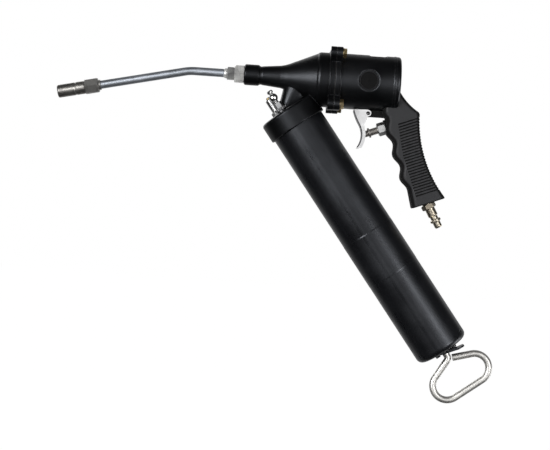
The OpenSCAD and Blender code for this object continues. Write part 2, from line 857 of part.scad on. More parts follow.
module barrel_gasket() {
    color(rubber) on_barrel(gasket_top) ring(barrel_r - 0.3, barrel_in_r - 3, barrel_top - gasket_top - gap);
}

// Flanged bush that guides the rod through the barrel end
module rod_bush() {
    color(brass) on_barrel(barrel_end - 5) rotate_extrude() polygon([[rod_r + fit, 0], [8, 0],
        [8, 5 - end_t], [bush_r, 5 - end_t], [bush_r, 5.4], [rod_r + fit, 5.4]]);
}

// Straight wire between two points given as distance along and across the barrel axis
module wire_line(a, b) {
    d = b - a;
    translate([-a[1], 0, a[0]]) rotate([0, atan2(-d[1], d[0]), 0]) cylinder(d = rod_d, h = norm(d));
}

// Bent wire around a centre, from one angle over a sweep, reaching a little into its neighbours
module wire_arc(centre, r, start, sweep) {
    reach = bend_lap / r * 180 / PI;
    translate([-centre[1], 0, centre[0]]) rotate([90, 0, 0]) rotate([0, 0, start - reach])
        rotate_extrude(angle = sweep + 2 * reach) translate([r, 0]) circle(d = rod_d - bend_thin);
}

// Rod and closed pull handle bent from one bar
module pull_rod() {
    turn = 90 + leg_angle;
    leg_end = [corner_s - corner_r * sin(leg_angle), corner_p + corner_r * cos(leg_angle)];
    butt = [leg_s, leg_p] + 0.4 * [cos(leg_angle), sin(leg_angle)];
    color(steel) on_barrel(0) {
        wire_line([rod_inner_s, 0], [loop_start, 0]);
        wire_arc([loop_start, -wire_bend_r], wire_bend_r, 180 - leg_angle, leg_angle);
        wire_line([leg_s, -leg_p], [leg_end[0], -leg_end[1]]);
        wire_arc([corner_s, -corner_p], corner_r, -leg_angle, turn);
        wire_line([bar_s, -corner_p], [bar_s, corner_p]);
        wire_arc([corner_s, corner_p], corner_r, 90, turn);
        wire_line(butt, leg_end);
    }
}

module follower_plate() {
    color("#8f8a78") on_barrel(follower_s) difference() {
        union() {
            cylinder(r = barrel_in_r - 2, h = 1.6);
            cylinder(r = 15, h = follower_t);
        }
        translate([0, 0, -1]) cylinder(r = rod_r, h = 10);
    }
}

// Rubber cup that wipes the barrel wall
module follower_cup() {
    r = barrel_in_r - 0.3;
    color(rubber) on_barrel(follower_s - cup_len) rotate_extrude() polygon([[rod_r + 0.4, cup_len - 4],
        [r - 5, cup_len - 4], [r - 1.6, 0], [r, 0], [r - 0.8, cup_len], [rod_r + 0.4, cup_len]]);
}

module follower_nut() {
    color(steel) on_barrel(follower_s - cup_len + 3) difference() {
        hex_nut(10, 4.9, 0.6);
        translate([0, 0, -1]) cylinder(r = rod_r, h = 8);
    }
}

module follower_spring() {
    length = barrel_end - end_t - 3.6 - follower_spring_s;
    color(steel) on_barrel(follower_spring_s) coil(18, 2.6, length, 13);
}

// Tilted plate with a rolled heel, folded cheeks and a thumb tab, which grips the rod
module rod_latch() {
    tab = 7;
    plate = latch_len - tab;
    cheek = [4, plate - 0.5];
    color(dark_steel) on_barrel(barrel_end + latch_lift) translate([-latch_heel_p, 0, 0])
        rotate([0, latch_tilt, 0]) difference() {
            union() {
                translate([-plate, -latch_w / 2, -latch_t / 2]) cube([plate, latch_w, latch_t]);
                translate([0, latch_w / 2, 0]) rotate([90, 0, 0]) cylinder(r = latch_heel_r, h = latch_w);
                translate([-plate, 0, -latch_t / 2]) intersection() {
                    rotate([0, -10, 0]) translate([-tab, -latch_w / 2, 0]) cube([tab + 0.4, latch_w, latch_t]);
                    translate([0, 0, -3]) cylinder(r = latch_w / 2, h = 8);
                }
                for (y = [latch_t - latch_w / 2, latch_w / 2]) translate([0, y, 0]) rotate([90, 0, 0])
                    linear_extrude(latch_t) polygon([[-cheek[0], 0], [-cheek[1], 0],
                        [-cheek[1], (cheek[0] - cheek[1]) * tan(cheek_angle)]]);
            }
            translate([latch_heel_p / cos(latch_tilt), 0, -5]) cylinder(r = latch_hole_r, h = 12);
        }
}

// Riveted hook that keeps the heel of the latch on the barrel end
module latch_keeper() {
    color(dark_steel) on_barrel(barrel_end) translate([9, 4, 0]) rotate([90, 0, 0]) linear_extrude(8)
        polygon([[0.6, 0], [8, 0], [8, 1.1], [1.7, 1.1], [1.7, 4.2], [-3, 4.2], [-3, 3.2], [0.6, 3.2]]);
}

module latch_spring() {
    reach = 11;
    length = latch_lift + (reach - latch_heel_p) * tan(latch_tilt) - 1.8;
    color(steel) on_barrel(barrel_end) translate([-reach, 0, 0]) coil(2.6, 0.7, length, 4, 10);
}

// Nipple for filling the barrel from a bulk pump
module filler_nipple() {
    ball = 4.5;
    ball_z = 17;
    color(steel) on_cap(nipple_p, nipple_y) {
        translate([0, 0, -3]) cylinder(r = fitting_r, h = 8);
        translate([0, 0, 4.6]) hex_nut(8, 6, 0.5);
        rotate_extrude() polygon(concat([[0, 9], [2.4, 9], [2.4, ball_z - ball * cos(32)]],
            [for (a = [-58:14.5:66]) [ball * cos(a), ball_z + ball * sin(a)]],
            [[1.8, 21.8], [3, 22.4], [3.2, 24], [2.4, 25.2], [0, 25.2]]));
    }
}

// Serrated lock ring under the nipple
module filler_ring() {
    r = 6.6;
    color(dark_steel) on_cap(nipple_p, nipple_y) difference() {
        union() {
            cylinder(r = 5, h = 2.6);
            translate([0, 0, 2.2]) cylinder(r = r, h = 2.4);
        }
        translate([0, 0, -1]) cylinder(r = fitting_r, h = 8);
        for (a = [0:15:345]) rotate([0, 0, a]) translate([r + 0.35, 0, -1]) cylinder(r = 0.7, h = 8, $fn = 8);
    }
}

module bleed_valve() {
    color(steel) on_cap(bleed_p, bleed_y) difference() {
        union() {
            translate([0, 0, -3]) cylinder(r = fitting_r, h = 4);
            hex_nut(11, 6, 0.7);
            rotate_extrude() polygon([[0, 5], [4.4, 5], [4.4, 19.8], [3.6, 20.6], [0, 20.6]]);
        }
        translate([0, 0, 12]) cylinder(r = 2.4 + fit, h = 10);
        translate([0, 0, -4]) cylinder(r = 1, h = 20);
    }
}

module bleed_button() {
    color(brass) on_cap(bleed_p, bleed_y) rotate_extrude() polygon([[0, 14.5], [2.4, 14.5], [2.4, 21.8],
        [1.8, 22.6], [0, 22.8]]);
}

pump_head();
outlet_adapter();
tube_nut();
delivery_tube();
coupler_body();
coupler_sleeve();
coupler_jaws();
coupler_seal();
coupler_spring();
check_ball();
check_spring();
plunger_gland();
plunger_seal();
plunger();
air_piston();
piston_seal();
piston_nut();
return_spring();
flange_gasket();
flange_bolts();
motor_housing();
badge();
exhaust_pad();
grip();
air_plug();
valve_nut();
valve_stem();
valve_seal();
valve_spring();
trigger();
trigger_pin();
barrel();
barrel_gasket();
rod_bush();
pull_rod();
follower_plate();
follower_cup();
follower_nut();
follower_spring();
rod_latch();
latch_keeper();
latch_spring();
filler_nipple();
filler_ring();
bleed_valve();
bleed_button();
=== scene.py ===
"""Looks for the air-powered grease gun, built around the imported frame. Units are metres, in the row frame."""

import math

import bmesh
import bpy
from mathutils import Matrix, Vector
from mathutils.bvhtree import BVHTree


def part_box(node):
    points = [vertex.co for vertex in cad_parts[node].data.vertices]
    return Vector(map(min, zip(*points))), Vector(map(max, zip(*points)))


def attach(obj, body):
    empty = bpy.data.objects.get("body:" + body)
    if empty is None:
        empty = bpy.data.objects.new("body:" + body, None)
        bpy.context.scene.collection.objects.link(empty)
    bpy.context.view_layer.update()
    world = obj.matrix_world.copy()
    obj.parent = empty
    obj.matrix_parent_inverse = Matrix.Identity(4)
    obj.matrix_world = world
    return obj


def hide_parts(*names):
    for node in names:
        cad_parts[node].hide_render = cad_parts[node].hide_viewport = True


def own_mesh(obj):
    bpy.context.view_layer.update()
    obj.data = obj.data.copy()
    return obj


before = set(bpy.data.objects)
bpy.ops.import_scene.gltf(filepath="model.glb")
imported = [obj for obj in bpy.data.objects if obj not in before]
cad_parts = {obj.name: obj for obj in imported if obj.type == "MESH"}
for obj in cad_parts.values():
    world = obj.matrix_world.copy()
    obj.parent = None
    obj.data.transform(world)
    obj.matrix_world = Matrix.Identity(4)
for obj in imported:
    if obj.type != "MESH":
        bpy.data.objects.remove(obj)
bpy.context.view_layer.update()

MM = 0.001

# Driving places and sizes, in millimetres, as in the part
PUMP_AXIS_Z = 76.2
FLANGE_FRONT_X = -88.7
FLANGE_REAR_X = -76.7
FLANGE_RADIUS = 30.5
BOLT_CIRCLE = 36.6
BOLT_RADIUS = 3.0
LUG_RADIUS = 6.2
GASKET_EYE_THICKNESS = 0.46
MOTOR_RADIUS = 28.3
SLOT_START_X = -48.4
SLOT_LENGTH = 18.0
SLOT_WIDTH = 17.0
SLOT_TURN = math.radians(10.0)
BADGE_X = -48.5
BADGE_FACE_RADIUS = 8.4
BADGE_RIM_RADIUS = 8.7
GRIP_LEAN = math.radians(21.4)
GRIP_HALF_WIDTH = 13.5
TUBE_RADIUS = 4.25
TRIGGER_HALF_WIDTH = 6.7
BARREL_SLOPE = math.radians(53.1)
TUBE_SLOPE = math.radians(12.8)
VALVE_LEAN = GRIP_LEAN
PLUG_LEAN = math.radians(30.0)

# Directions that the turned and drawn pieces are made along
PUMP_DIRECTION = Vector((1, 0, 0))
BARREL_DIRECTION = Vector((math.cos(BARREL_SLOPE), 0, -math.sin(BARREL_SLOPE)))
NOZZLE_DIRECTION = Vector((-math.cos(TUBE_SLOPE), 0, -math.sin(TUBE_SLOPE)))
VALVE_DIRECTION = Vector((-math.cos(VALVE_LEAN), 0, -math.sin(VALVE_LEAN)))
GRIP_DIRECTION = Vector((math.sin(GRIP_LEAN), 0, -math.cos(GRIP_LEAN)))
PLUG_DIRECTION = Vector((math.sin(PLUG_LEAN), 0, -math.cos(PLUG_LEAN)))
ACROSS = Vector((0, 1, 0))

# Camera of the photograph: the point it looks at, its distance, the width it sees there and its roll
LOOK_AT = Vector((-133.5, 0, -76.2)) * MM
CAMERA_DISTANCE = 1543 * MM
SEEN_WIDTH = 566 * MM
CAMERA_ROLL = math.radians(3.9)
SENSOR_WIDTH = 36.0

# Floor: its height, half its width, its tone, and how white and how much of it the camera sees
FLOOR_Z = -0.62
FLOOR_HALF_WIDTH = 12.0
FLOOR_TONE = 0.9
FLOOR_WHITE = 1.07
FLOOR_SHARE = 0.9

# Soft lamps: place, width and power
SOFT_LAMPS = (
    ("key", (-1.1, -1.3, 0.9), 1.0, 16.0),
    ("fill", (1.2, -1.2, 0.2), 1.2, 5.0),
    ("back", (0.2, 1.4, 1.2), 1.0, 8.0),
)

# Strength of the room's light on matt surfaces, and of what polished surfaces mirror
ROOM_GLOW = 0.45
FRONT_GLOW = 0.6
REAR_GLOW = 2.0
WALL_GLOW = 0.02
BACKDROP_GLOW = 0.55

# The window of the room behind the gun: the direction to it, and the angles where it starts and is full
REAR_WINDOW = Vector((-0.45, 0.8, 0.4)).normalized()
REAR_WINDOW_EDGE = math.cos(math.radians(21))
REAR_WINDOW_FULL = math.cos(math.radians(9))

# Bright windows that only polished surfaces mirror: the direction to each and its power
WINDOWS = (
    ("left_window", Vector((-0.57, -0.81, 0.13)), 90.0),
    ("right_window", Vector((0.62, -0.78, 0)), 46.0),
    ("side_window", Vector((0.93, 0.25, -0.3)), 22.0),
)
WINDOW_DISTANCE = 3.0
WINDOW_WIDTH = 1.6

# The range that most of a noise pattern lies in
PATTERN_LOW, PATTERN_HIGH = 0.3, 0.7


# Shader node groups


def shader_group(name, inputs, outputs):
    """A node group with float, vector or colour sockets; returns its tree and its input and output nodes."""
    tree = bpy.data.node_groups.new(name, "ShaderNodeTree")
    for label, kind, value in inputs:
        socket = tree.interface.new_socket(label, in_out="INPUT", socket_type=kind)
        socket.default_value = value
    for label, kind in outputs:
        tree.interface.new_socket(label, in_out="OUTPUT", socket_type=kind)
    return tree, tree.nodes.new("NodeGroupInput"), tree.nodes.new("NodeGroupOutput")


def feed(tree, socket, value):
    """Links a socket to another one, or sets it to a plain value."""
    if isinstance(value, bpy.types.NodeSocket):
        tree.links.new(value, socket)
    elif value is not None:
        socket.default_value = value


def math_node(tree, operation, first, second=None):
    """A math node whose inputs are sockets or plain numbers; returns its output."""
    node = tree.nodes.new("ShaderNodeMath")
    node.operation = operation
    feed(tree, node.inputs[0], first)
    feed(tree, node.inputs[1], second)
    return node.outputs[0]


def vector_math(tree, operation, first, second=None):
    """A vector math node whose inputs are sockets or plain values; returns its output."""
    node = tree.nodes.new("ShaderNodeVectorMath")
    node.operation = operation
    feed(tree, node.inputs[0], first)
    feed(tree, node.inputs["Scale" if operation == "SCALE" else 1], second)
    return node.outputs["Value" if operation in ("DOT_PRODUCT", "LENGTH") else "Vector"]


def span(tree, value, low, high, out_low=0.0, out_high=1.0):
    """Maps a value from one range to another, clamped; returns the output."""
    node = tree.nodes.new("ShaderNodeMapRange")
    tree.links.new(value, node.inputs["Value"])
    for label, number in (("From Min", low), ("From Max", high), ("To Min", out_low), ("To Max", out_high)):
        node.inputs[label].default_value = number
    return node.outputs["Result"]


def spread(tree, pattern, low, high):
    """Maps the usual range of a noise pattern to another range, clamped; returns the output."""
    return span(tree, pattern, PATTERN_LOW, PATTERN_HIGH, low, high)


def noise(tree, vector, scale, detail=3.0):
    """A noise texture over a vector; the scale is a socket or a number. Returns its value."""
    node = tree.nodes.new("ShaderNodeTexNoise")
    node.inputs["Detail"].default_value = detail
    tree.links.new(vector, node.inputs["Vector"])
    feed(tree, node.inputs["Scale"], scale)
    return node.outputs[0]


def object_place(tree):
    """The surface point in the row frame."""
    return tree.nodes.new("ShaderNodeTexCoord").outputs["Object"]


def edge_wear_group():
    """Mask of the edges that hands and tools rub bare, broken up by noise."""
    tree, given, put = shader_group(
        "Edge Wear",
        [("Radius", "NodeSocketFloat", 0.0006), ("Breakup", "NodeSocketFloat", 300.0)],
        [("Mask", "NodeSocketFloat")],
    )
    bevel = tree.nodes.new("ShaderNodeBevel")
    bevel.samples = 4
    tree.links.new(given.outputs["Radius"], bevel.inputs["Radius"])
    true_normal = tree.nodes.new("ShaderNodeNewGeometry").outputs["Normal"]
    edge = span(tree, vector_math(tree, "DOT_PRODUCT", bevel.outputs[0], true_normal), 0.99, 0.86)
    patches = span(tree, noise(tree, object_place(tree), given.outputs["Breakup"]), 0.42, 0.62)
    tree.links.new(math_node(tree, "MULTIPLY", edge, patches), put.inputs["Mask"])
    return tree


def paint_grain_group():
    """Sprayed paint: a fine orange peel, slow changes of gloss and a little dust in the film."""
    tree, given, put = shader_group(
        "Paint Grain",
        [("Peel Scale", "NodeSocketFloat", 1400.0), ("Gloss Scale", "NodeSocketFloat", 28.0)],
        [("Height", "NodeSocketFloat"), ("Gloss", "NodeSocketFloat"), ("Dust", "NodeSocketFloat")],
    )
    place = object_place(tree)
    peel = noise(tree, place, given.outputs["Peel Scale"], 2.0)
    gloss = noise(tree, place, given.outputs["Gloss Scale"], 5.0)
    specks = tree.nodes.new("ShaderNodeTexVoronoi")
    specks.inputs["Scale"].default_value = 420.0
    tree.links.new(place, specks.inputs["Vector"])
    dust = span(tree, specks.outputs["Distance"], 0.09, 0.02)
    tree.links.new(peel, put.inputs["Height"])
    tree.links.new(gloss, put.inputs["Gloss"])
    tree.links.new(math_node(tree, "MULTIPLY", dust, span(tree, gloss, 0.5, 0.7)), put.inputs["Dust"])
    return tree


def distance_along(tree, direction):
    """The distance of the surface point along a direction."""
    return vector_math(tree, "DOT_PRODUCT", object_place(tree), direction)


def place_across(tree, direction):
    """The part of the surface point's place that lies across a direction."""
    along = vector_math(tree, "SCALE", direction, distance_along(tree, direction))
    return vector_math(tree, "SUBTRACT", object_place(tree), along)


def turned_rings_group():
    """Tool rings left by a lathe, round the axis of the piece."""
    tree, given, put = shader_group(
        "Turned Rings",
        [("Axis", "NodeSocketVector", (1, 0, 0)), ("Lines", "NodeSocketFloat", 2600.0)],
        [("Height", "NodeSocketFloat"), ("Tint", "NodeSocketFloat")],
    )
    rings = tree.nodes.new("ShaderNodeTexNoise")
    rings.noise_dimensions = "1D"
    tree.links.new(distance_along(tree, given.outputs["Axis"]), rings.inputs["W"])
    tree.links.new(given.outputs["Lines"], rings.inputs["Scale"])
    tree.links.new(rings.outputs[0], put.inputs["Height"])
    tree.links.new(noise(tree, object_place(tree), 90.0), put.inputs["Tint"])
    return tree


def drawn_lines_group():
    """Fine lines along a drawn bar or tube, with longer stains across them."""
    tree, given, put = shader_group(
        "Drawn Lines",
        [("Axis", "NodeSocketVector", (1, 0, 0)), ("Lines", "NodeSocketFloat", 2200.0)],
        [("Height", "NodeSocketFloat"), ("Tint", "NodeSocketFloat")],
    )
    across = place_across(tree, given.outputs["Axis"])
    tree.links.new(noise(tree, across, given.outputs["Lines"], 2.0), put.inputs["Height"])
    tree.links.new(noise(tree, object_place(tree), 55.0, 5.0), put.inputs["Tint"])
    return tree


def handling_group():
    """Thin smears of oil and finger marks."""
    tree, given, put = shader_group(
        "Handling Marks",
        [("Scale", "NodeSocketFloat", 45.0)],
        [("Smear", "NodeSocketFloat")],
    )
    place = object_place(tree)
    warp = tree.nodes.new("ShaderNodeTexNoise")
    warp.inputs["Scale"].default_value = 60.0
    tree.links.new(place, warp.inputs["Vector"])
    bent = vector_math(tree, "ADD", place, vector_math(tree, "SCALE", warp.outputs["Color"], 0.02))
    smear = noise(tree, bent, given.outputs["Scale"], 6.0)
    tree.links.new(span(tree, smear, 0.45, 0.7), put.inputs["Smear"])
    return tree


EDGE_WEAR = edge_wear_group()
PAINT_GRAIN = paint_grain_group()
TURNED_RINGS = turned_rings_group()
DRAWN_LINES = drawn_lines_group()
HANDLING = handling_group()


# Material helpers


def new_finish(name):
    """A material with a Principled BSDF; returns the material, its tree and the shader."""
    material = bpy.data.materials.new(name)
    material.use_nodes = True
    tree = material.node_tree
    return material, tree, tree.nodes["Principled BSDF"]


def place_group(tree, group, **values):
    """Places a node group, with input values named in lower case with underscores."""
    node = tree.nodes.new("ShaderNodeGroup")
    node.node_tree = group
    for label, value in values.items():
        node.inputs[label.replace("_", " ").title()].default_value = value
    return node


def mix_colour(tree, factor, first, second):
    """Mixes two colours, each a triple or a socket, by a factor socket."""
    node = tree.nodes.new("ShaderNodeMix")
    node.data_type = "RGBA"
    tree.links.new(factor, node.inputs["Factor"])
    for socket, colour in ((node.inputs[6], first), (node.inputs[7], second)):
        feed(tree, socket, (*colour, 1.0) if isinstance(colour, tuple) else colour)
    return node.outputs[2]


def bump(tree, shader, height, strength, distance, round_edges=0.0):
    """Feeds a height into the shader's normal, over edges that look rounded by a radius."""
    node = tree.nodes.new("ShaderNodeBump")
    if round_edges:
        bevel = tree.nodes.new("ShaderNodeBevel")
        bevel.samples = 6
        bevel.inputs["Radius"].default_value = round_edges
        tree.links.new(bevel.outputs[0], node.inputs["Normal"])
    node.inputs["Strength"].default_value = strength
    node.inputs["Distance"].default_value = distance
    tree.links.new(height, node.inputs["Height"])
    tree.links.new(node.outputs[0], shader.inputs["Normal"])


SHEET_FILM = (0.0043, 0.0045, 0.0056)
CAST_FILM = (0.0012, 0.0012, 0.0014)


def black_paint(name, peel_scale, roughness, film=SHEET_FILM, peel_depth=0.00004, drawn=None, mirror=0.5):
    """Satin black spray paint, greyer on its edges, with streaks along the direction a tube was drawn."""
    material, tree, shader = new_finish(name)
    grain = place_group(tree, PAINT_GRAIN, peel_scale=peel_scale)
    wear = place_group(tree, EDGE_WEAR, radius=0.0007)
    smear = place_group(tree, HANDLING)
    film_tone = mix_colour(tree, grain.outputs["Gloss"], film, tuple(1.5 * part for part in film))
    dusty = mix_colour(tree, grain.outputs["Dust"], film_tone, (0.05, 0.05, 0.048))
    worn = mix_colour(tree, math_node(tree, "MULTIPLY", wear.outputs[0], 0.5), dusty, (0.13, 0.13, 0.135))
    tree.links.new(worn, shader.inputs["Base Color"])
    base = spread(tree, grain.outputs["Gloss"], roughness - 0.06, roughness + 0.06)
    oily = math_node(tree, "MULTIPLY", smear.outputs[0], -0.06)
    total = math_node(tree, "ADD", base, oily)
    if drawn:
        streaks = place_group(tree, DRAWN_LINES, axis=tuple(drawn), lines=240.0)
        total = math_node(tree, "ADD", total, spread(tree, streaks.outputs["Height"], -0.05, 0.05))
    tree.links.new(total, shader.inputs["Roughness"])
    shader.inputs["Specular IOR Level"].default_value = mirror
    shader.inputs["Specular Tint"].default_value = (0.88, 0.92, 1.0, 1.0)
    bump(tree, shader, grain.outputs["Height"], 0.35, peel_depth, 0.0013)
    return material


def grip_plastic():
    """Dark grey moulded plastic with a spark-eroded grain, a polish where the hand rubs, and painted shade, near
    black, in the rib grooves and on the rounded front and back.
    """
    material, tree, shader = new_finish("grip_plastic")
    grain = place_group(tree, PAINT_GRAIN, peel_scale=2400.0, gloss_scale=20.0)
    wear = place_group(tree, EDGE_WEAR, radius=0.0005, breakup=180.0)
    smear = place_group(tree, HANDLING, scale=30.0)
    parts = tree.nodes.new("ShaderNodeSeparateXYZ")
    tree.links.new(object_place(tree), parts.inputs[0])
    depth = math_node(tree, "ABSOLUTE", parts.outputs["Y"])
    flat_side = span(tree, depth, (GRIP_HALF_WIDTH - 0.7) * MM, (GRIP_HALF_WIDTH - 0.1) * MM)
    tone = mix_colour(tree, grain.outputs["Gloss"], (0.0155, 0.0158, 0.0182), (0.0235, 0.024, 0.0275))
    # Painted shade: near-black colour wherever the surface lies inside the flat side, that is in the rib grooves and
    # on the rounded front and back edges.
    painted_groove_shade = mix_colour(tree, flat_side, (0.001, 0.001, 0.0012), tone)
    rubbed = mix_colour(tree, math_node(tree, "MULTIPLY", wear.outputs[0], 0.55), painted_groove_shade, (0.11, 0.112, 0.118))
    tree.links.new(rubbed, shader.inputs["Base Color"])
    shader.inputs["Specular IOR Level"].default_value = 0.3
    worked = span(tree, smear.outputs[0], 0.0, 1.0, 0.54, 0.42)
    grooves = math_node(tree, "MULTIPLY", math_node(tree, "SUBTRACT", 1.0, flat_side), 0.45)
    tree.links.new(math_node(tree, "ADD", worked, grooves), shader.inputs["Roughness"])
    bump(tree, shader, grain.outputs["Height"], 0.5, 0.00005)
    return material


def plated(name, axis, bright, dull, roughness, turned=True, lines=2600.0, depth=0.00002, edges=0.6, metal=1.0):
    """Plated or bare metal with the marks of the tool that made it, duller in its stains and brighter on edges."""
    material, tree, shader = new_finish(name)
    marks = place_group(tree, TURNED_RINGS if turned else DRAWN_LINES, axis=tuple(axis), lines=lines)
    smear = place_group(tree, HANDLING, scale=80.0)
    tone = mix_colour(tree, span(tree, marks.outputs["Tint"], 0.35, 0.65), bright, dull)
    if edges:
        wear = place_group(tree, EDGE_WEAR, radius=0.0004, breakup=500.0)
        tone = mix_colour(tree, math_node(tree, "MULTIPLY", wear.outputs[0], edges), tone, (0.86, 0.86, 0.86))
    tree.links.new(tone, shader.inputs["Base Color"])
    shader.inputs["Metallic"].default_value = metal
    rough = spread(tree, marks.outputs["Height"], roughness - 0.05, roughness + 0.07)
    film = math_node(tree, "MULTIPLY", smear.outputs[0], 0.1)
    tree.links.new(math_node(tree, "ADD", rough, film), shader.inputs["Roughness"])
    bump(tree, shader, marks.outputs["Height"], 0.3, depth)
    return material


def dark_rubber():
    """Matt black rubber with a bloom."""
    material, tree, shader = new_finish("dark_rubber")
    grain = place_group(tree, PAINT_GRAIN, peel_scale=1800.0)
    tone = mix_colour(tree, grain.outputs["Gloss"], (0.012, 0.012, 0.012), (0.03, 0.03, 0.03))
    tree.links.new(tone, shader.inputs["Base Color"])
    tree.links.new(spread(tree, grain.outputs["Gloss"], 0.6, 0.8), shader.inputs["Roughness"])
    bump(tree, shader, grain.outputs["Height"], 0.3, 0.00005)
    return material


def fibre(name, light, dark, scale):
    """Pressed fibres: the paper of a gasket or the felt of a silencer."""
    material, tree, shader = new_finish(name)
    strands = noise(tree, object_place(tree), scale, 8.0)
    tree.links.new(mix_colour(tree, strands, dark, light), shader.inputs["Base Color"])
    tree.links.new(spread(tree, strands, 0.8, 0.95), shader.inputs["Roughness"])
    bump(tree, shader, strands, 0.8, 0.0003)
    return material


def badge_lacquer():
    """Dark lacquered disc with fine level lines and a painted highlight on its raised rim."""
    material, tree, shader = new_finish("badge_lacquer")
    grain = place_group(tree, PAINT_GRAIN, peel_scale=3200.0)
    lines = place_group(tree, DRAWN_LINES, axis=(1, 0, 0), lines=1500.0)
    centre = Vector((BADGE_X, 0, PUMP_AXIS_Z)) * MM
    offset = vector_math(tree, "SUBTRACT", object_place(tree), centre)
    radius = vector_math(tree, "LENGTH", vector_math(tree, "MULTIPLY", offset, (1, 0, 1)))
    # Painted highlight: beyond the face radius, the raised rim is given a paler tone.
    rim = span(tree, radius, BADGE_FACE_RADIUS * MM, BADGE_RIM_RADIUS * MM)
    tone = mix_colour(tree, lines.outputs["Height"], (0.0005, 0.0005, 0.0006), (0.003, 0.003, 0.0034))
    tree.links.new(mix_colour(tree, rim, tone, (0.014, 0.014, 0.0155)), shader.inputs["Base Color"])
    tree.links.new(spread(tree, grain.outputs["Height"], 0.35, 0.55), shader.inputs["Roughness"])
    shader.inputs["Specular IOR Level"].default_value = 0.11
    bump(tree, shader, lines.outputs["Height"], 0.5, 0.0001, 0.0003)
    return material


ZINC_BRIGHT, ZINC_DULL = (0.78, 0.78, 0.77), (0.6, 0.61, 0.62)
STEEL_BRIGHT, STEEL_DULL = (0.58, 0.575, 0.56), (0.46, 0.455, 0.45)
DARK_BRIGHT, DARK_DULL = (0.25, 0.25, 0.255), (0.16, 0.16, 0.165)
BRASS_BRIGHT, BRASS_DULL = (0.62, 0.47, 0.24), (0.48, 0.36, 0.19)


def node_finishes():
    """The material of every CAD node."""
    rows = [
        (black_paint("head_black", 900.0, 0.4, CAST_FILM, 0.00007, mirror=0.31), "pump_head"),
        (black_paint("motor_black", 900.0, 0.36, CAST_FILM, 0.00007, mirror=0.52), "motor_housing"),
        (black_paint("barrel_black", 1700.0, 0.36, drawn=BARREL_DIRECTION), "barrel"),
        (black_paint("latch_black", 1700.0, 0.34), "rod_latch latch_keeper"),
        (grip_plastic(), "grip"),
        (dark_rubber(), "coupler_seal plunger_seal piston_seal valve_seal barrel_gasket follower_cup"),
        (fibre("gasket_paper", (0.03, 0.024, 0.018), (0.012, 0.01, 0.008), 900.0), "flange_gasket"),
        (fibre("silencer_felt", (0.03, 0.03, 0.03), (0.008, 0.008, 0.008), 1200.0), "exhaust_pad"),
        (badge_lacquer(), "badge"),
        (plated("pump_zinc", PUMP_DIRECTION, (0.84, 0.84, 0.82), (0.54, 0.54, 0.53), 0.28, metal=0.45),
         "outlet_adapter"),
        (plated("tube_zinc", NOZZLE_DIRECTION, (0.44, 0.47, 0.52), (0.36, 0.39, 0.43), 0.4, turned=False,
                lines=900.0, depth=0.000004, edges=0.0, metal=0.9), "delivery_tube"),
        (plated("sheet_zinc", ACROSS, (0.9, 0.9, 0.9), (0.82, 0.82, 0.83), 0.3, turned=False), "trigger"),
        (plated("valve_zinc", VALVE_DIRECTION, ZINC_BRIGHT, ZINC_DULL, 0.28), "valve_nut"),
        (plated("cap_fitting_zinc", BARREL_DIRECTION, ZINC_BRIGHT, ZINC_DULL, 0.2), "filler_nipple bleed_valve"),
        (plated("nut_steel", PUMP_DIRECTION, (0.56, 0.56, 0.55), DARK_BRIGHT, 0.28, metal=0.6), "tube_nut"),
        (plated("nose_steel", NOZZLE_DIRECTION, (0.39, 0.38, 0.36), (0.27, 0.26, 0.25), 0.32, metal=0.95),
         "coupler_sleeve"),
        (plated("coupler_steel", NOZZLE_DIRECTION, (0.3, 0.295, 0.285), (0.2, 0.196, 0.19), 0.3, metal=0.7),
         "coupler_body"),
        (plated("pin_steel", ACROSS, (0.045, 0.045, 0.048), (0.025, 0.025, 0.027), 0.4, edges=0.0), "trigger_pin"),
        (plated("ring_steel", BARREL_DIRECTION, DARK_BRIGHT, DARK_DULL, 0.36), "filler_ring"),
        (plated("rod_steel", ACROSS, (0.7, 0.69, 0.66), (0.6, 0.59, 0.57), 0.4, lines=700.0, depth=0.000004,
                edges=0.0, metal=0.92), "pull_rod follower_plate follower_nut"),
        (plated("inner_steel", PUMP_DIRECTION, STEEL_BRIGHT, STEEL_DULL, 0.25),
         "plunger check_ball piston_nut coupler_jaws"),
        (plated("spring_wire", PUMP_DIRECTION, (0.42, 0.42, 0.43), DARK_BRIGHT, 0.32, turned=False, edges=0.0),
         "coupler_spring check_spring return_spring valve_spring follower_spring latch_spring"),
        (plated("bolt_yellow_zinc", PUMP_DIRECTION, (0.6, 0.46, 0.22), (0.42, 0.34, 0.22), 0.3, edges=0.3),
         "flange_bolts"),
        (plated("plug_nickel", PLUG_DIRECTION, (0.5, 0.46, 0.38), (0.36, 0.3, 0.22), 0.26), "air_plug"),
        (plated("stem_nickel", VALVE_DIRECTION, (0.5, 0.48, 0.45), (0.32, 0.3, 0.28), 0.3, metal=0.8), "valve_stem"),
        (plated("bush_brass", BARREL_DIRECTION, BRASS_BRIGHT, BRASS_DULL, 0.3), "rod_bush bleed_button plunger_gland"),
        (plated("piston_alloy", PUMP_DIRECTION, (0.6, 0.6, 0.61), (0.5, 0.5, 0.51), 0.35), "air_piston"),
    ]
    return {name: material for material, names in rows for name in names.split()}


FINISHES = node_finishes()
for node_name, node_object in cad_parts.items():
    for material_slot in node_object.material_slots:
        material_slot.material = FINISHES[node_name]


# Mesh helpers


def add_piece(name, mesh_maker, body, material):
    """Makes an object from a bmesh, smooth, riding on a body."""
    mesh = bpy.data.meshes.new(name)
    shape = bmesh.new()
    mesh_maker(shape)
    bmesh.ops.recalc_face_normals(shape, faces=shape.faces)
    for face in shape.faces:
        face.smooth = True
    shape.to_mesh(mesh)
    shape.free()
    piece = bpy.data.objects.new(name, mesh)
    bpy.context.scene.collection.objects.link(piece)
    mesh.materials.append(material)
    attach(piece, body)
    return piece


